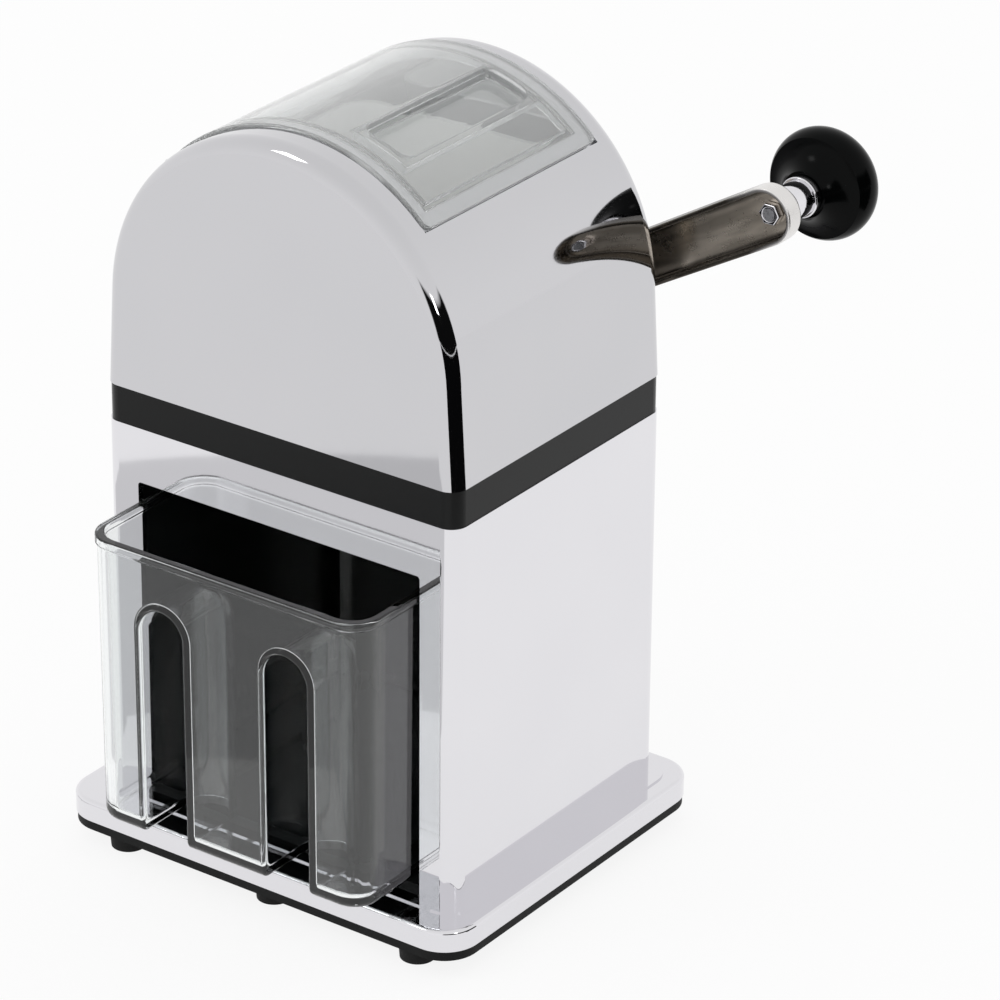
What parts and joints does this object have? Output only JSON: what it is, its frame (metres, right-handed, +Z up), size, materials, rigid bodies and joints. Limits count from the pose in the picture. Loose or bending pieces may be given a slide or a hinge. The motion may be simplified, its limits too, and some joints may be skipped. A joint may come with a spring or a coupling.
{
  "type": "hand crank ice crusher",
  "caption": "Crank-driven ice crusher: arched hood with clear lid over a bladed rotor, side crank with knob, and a clear pull-out ice drawer in a tall body on a plinth.",
  "frame": {"origin": "on the floor under the centre of the body", "axes": "+X to the right seen from the front, +Y to the rear along the crank shaft, +Z up"},
  "size_m": [0.2072, 0.1973, 0.2693],
  "materials": {
    "chrome_plated_abs": "mirror chrome plate on ABS",
    "black_gloss_abs": "glossy black ABS",
    "black_matte_abs": "fine matt black ABS",
    "clear_acrylic": "clear moulded SAN plastic",
    "white_abs": "satin white moulded ABS",
    "black_rubber": "moulded rubber",
    "zinc_steel": "zinc-plated steel",
    "stainless_steel": "stamped stainless steel",
    "chrome_plated_steel": "chrome-plated steel",
    "nylon": "natural nylon",
    "phenolic": "polished black phenolic"
  },
  "bodies": {
    "root": {"base_plinth": "chrome_plated_abs", "bottom_cover": "black_matte_abs", "rubber_feet": "black_rubber", "cover_screws": "zinc_steel", "body_screws": "zinc_steel", "lower_body": "chrome_plated_abs", "drawer_bay": "black_matte_abs", "mid_frame": "black_gloss_abs", "frame_screws": "zinc_steel", "hood": "chrome_plated_abs", "hood_screws": "zinc_steel", "lid_hinge_pin": "stainless_steel", "shaft_bezel": "black_gloss_abs", "crushing_chamber": "white_abs", "chamber_screws": "zinc_steel", "left_comb": "stainless_steel", "right_comb": "stainless_steel", "comb_screws": "zinc_steel", "ice_hopper": "white_abs", "front_bush": "nylon", "rear_bush": "nylon"},
    "crank": {"crank_shaft": "stainless_steel", "rotor_blades": "stainless_steel", "blade_spacers": "stainless_steel", "thrust_washers": "nylon", "shaft_circlip": "zinc_steel", "crank_arm": "chrome_plated_steel", "hub_screw": "chrome_plated_steel", "ferrule": "chrome_plated_steel", "knob_spindle": "zinc_steel", "spindle_nut": "chrome_plated_steel"},
    "knob": {"knob": "phenolic", "knob_cap": "phenolic"},
    "lid": {"lid": "clear_acrylic"},
    "drawer": {"ice_drawer": "clear_acrylic"}
  },
  "joints": [
    {"name": "crank_spin", "type": "hinge", "parent": "root", "child": "crank", "pos_m": [0, 0, 0.1679], "axis": [0, 1, 0], "continuous": true},
    {"name": "knob_spin", "type": "hinge", "parent": "crank", "child": "knob", "pos_m": [0.10555, 0.09, 0.23007], "axis": [0, 1, 0], "continuous": true},
    {"name": "lid_hinge", "type": "hinge", "parent": "root", "child": "lid", "pos_m": [-0.05215, 0, 0.24393], "axis": [0, -1, 0], "range_deg": [0, 105]},
    {"name": "drawer_slide", "type": "slide", "parent": "root", "child": "drawer", "axis": [0, -1, 0], "range_m": [0, 0.1]}
  ]
}
